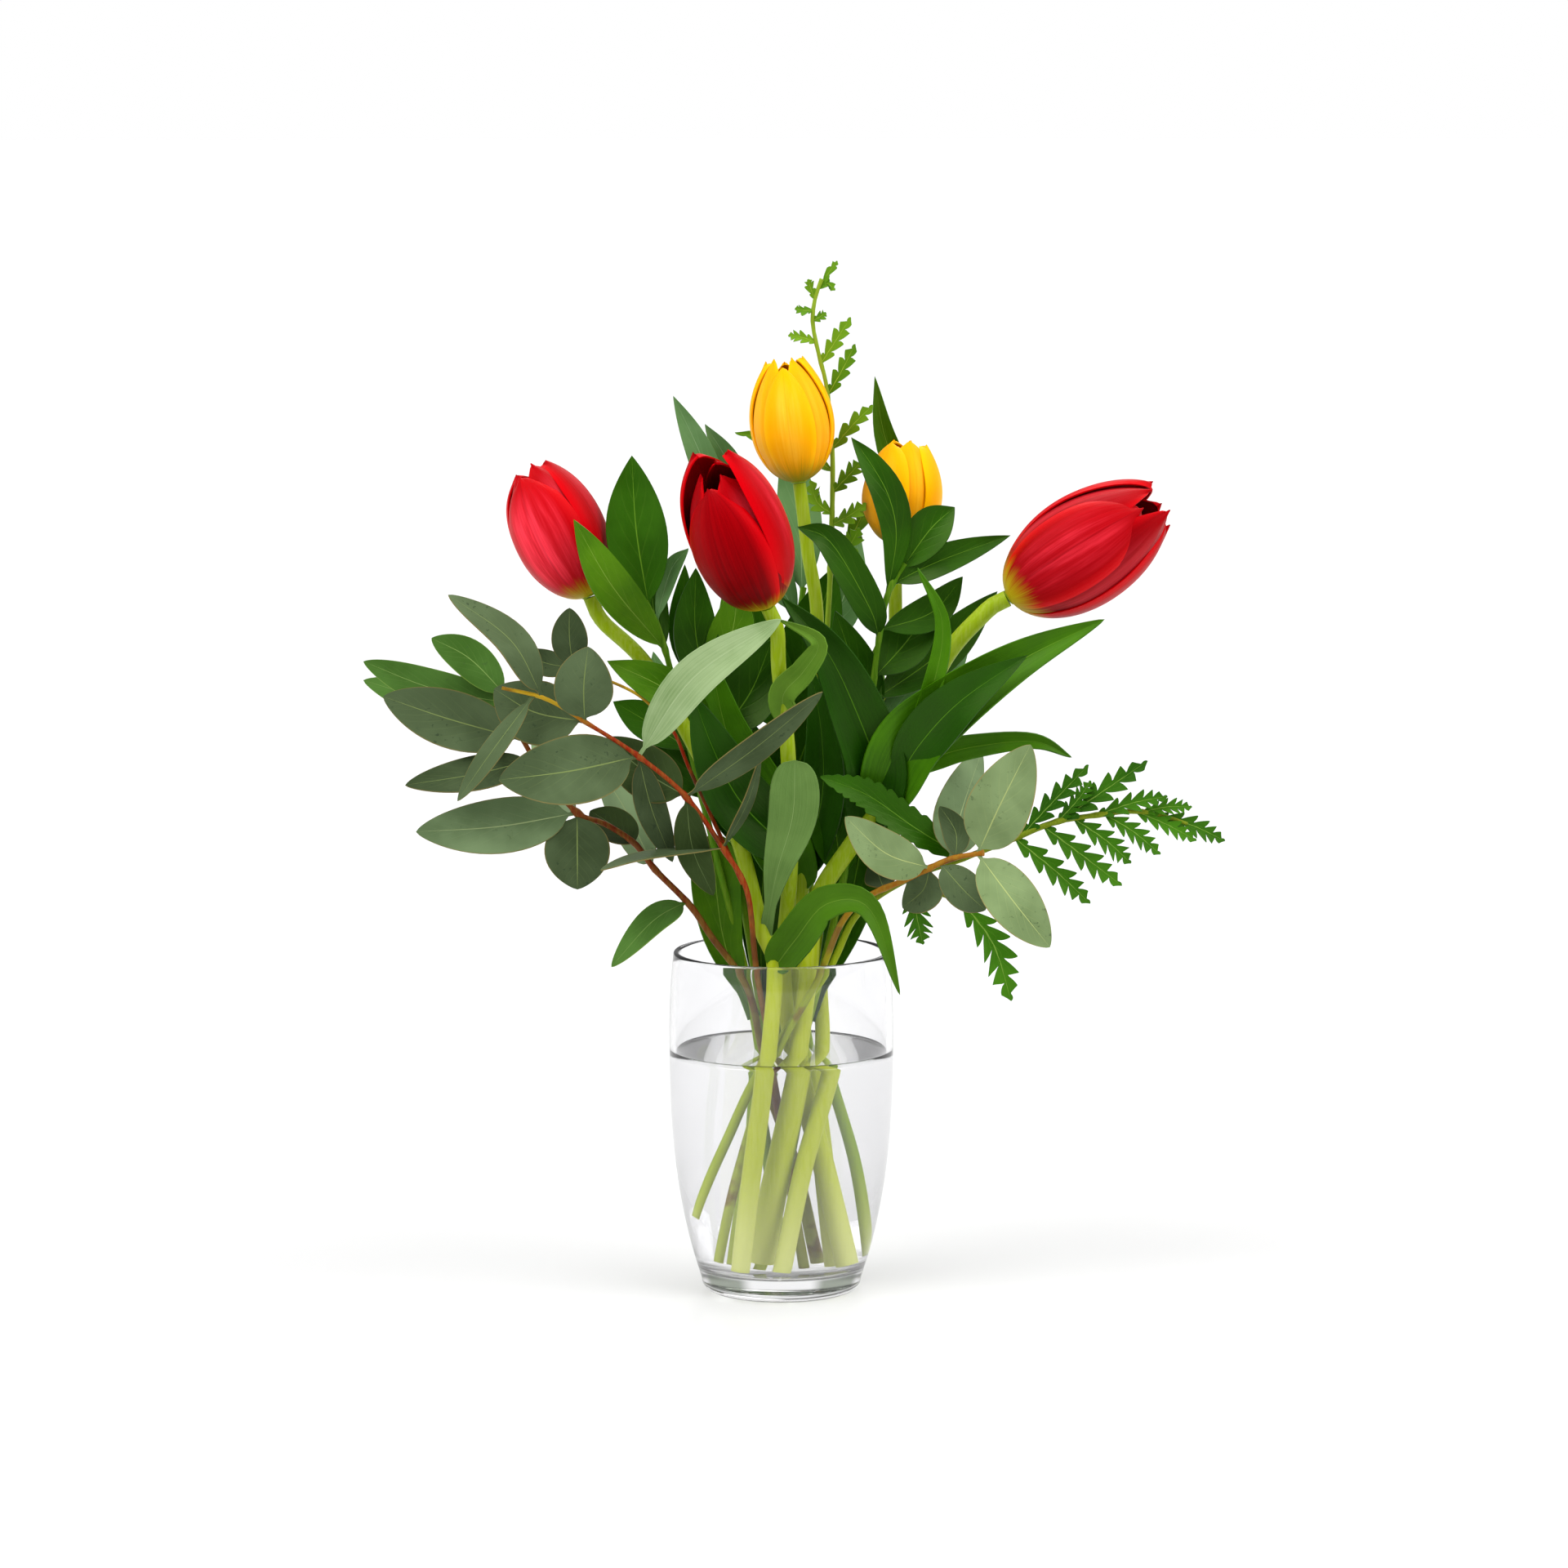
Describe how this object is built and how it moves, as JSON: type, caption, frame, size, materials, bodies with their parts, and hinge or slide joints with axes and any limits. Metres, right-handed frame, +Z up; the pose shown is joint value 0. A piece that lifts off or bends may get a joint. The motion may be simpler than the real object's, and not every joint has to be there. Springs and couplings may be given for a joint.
{
  "type": "tulips in a vase",
  "caption": "Mixed bouquet of red and yellow tulips with eucalyptus, broad leaves and fern, standing in water in a clear glass barrel vase with a heavy base.",
  "frame": {"origin": "centre of the vase's flat bottom", "axes": "+Z up; -Y is the side that the bouquet shows; +X to the right seen from there"},
  "size_m": [0.383, 0.168, 0.46],
  "materials": {
    "glass_clear": "clear polished glass",
    "water": "clear still water",
    "tulip_green": "fresh waxy green, satin",
    "red_petal": "crimson petal, soft sheen",
    "yellow_petal": "golden yellow petal, soft sheen",
    "eucalyptus_leaf": "grey-green leaf with a dull bloom",
    "broad_leaf": "deep green glossy leaf",
    "fern_leaf": "mid green frond"
  },
  "bodies": {
    "root": {"vase": "glass_clear", "water": "water", "red_front_stem": "tulip_green", "red_left_stem": "tulip_green", "red_right_stem": "tulip_green", "yellow_top_stem": "tulip_green", "yellow_right_stem": "tulip_green", "red_front_bloom": "red_petal", "red_left_bloom": "red_petal", "red_right_bloom": "red_petal", "yellow_top_bloom": "yellow_petal", "yellow_right_bloom": "yellow_petal", "eucalyptus_left_long": "eucalyptus_leaf", "eucalyptus_left_low": "eucalyptus_leaf", "eucalyptus_right": "eucalyptus_leaf", "broad_left": "broad_leaf", "broad_middle": "broad_leaf", "broad_right": "broad_leaf", "broad_back": "broad_leaf", "fern_right": "fern_leaf", "fern_top": "fern_leaf"}
  },
  "joints": []
}
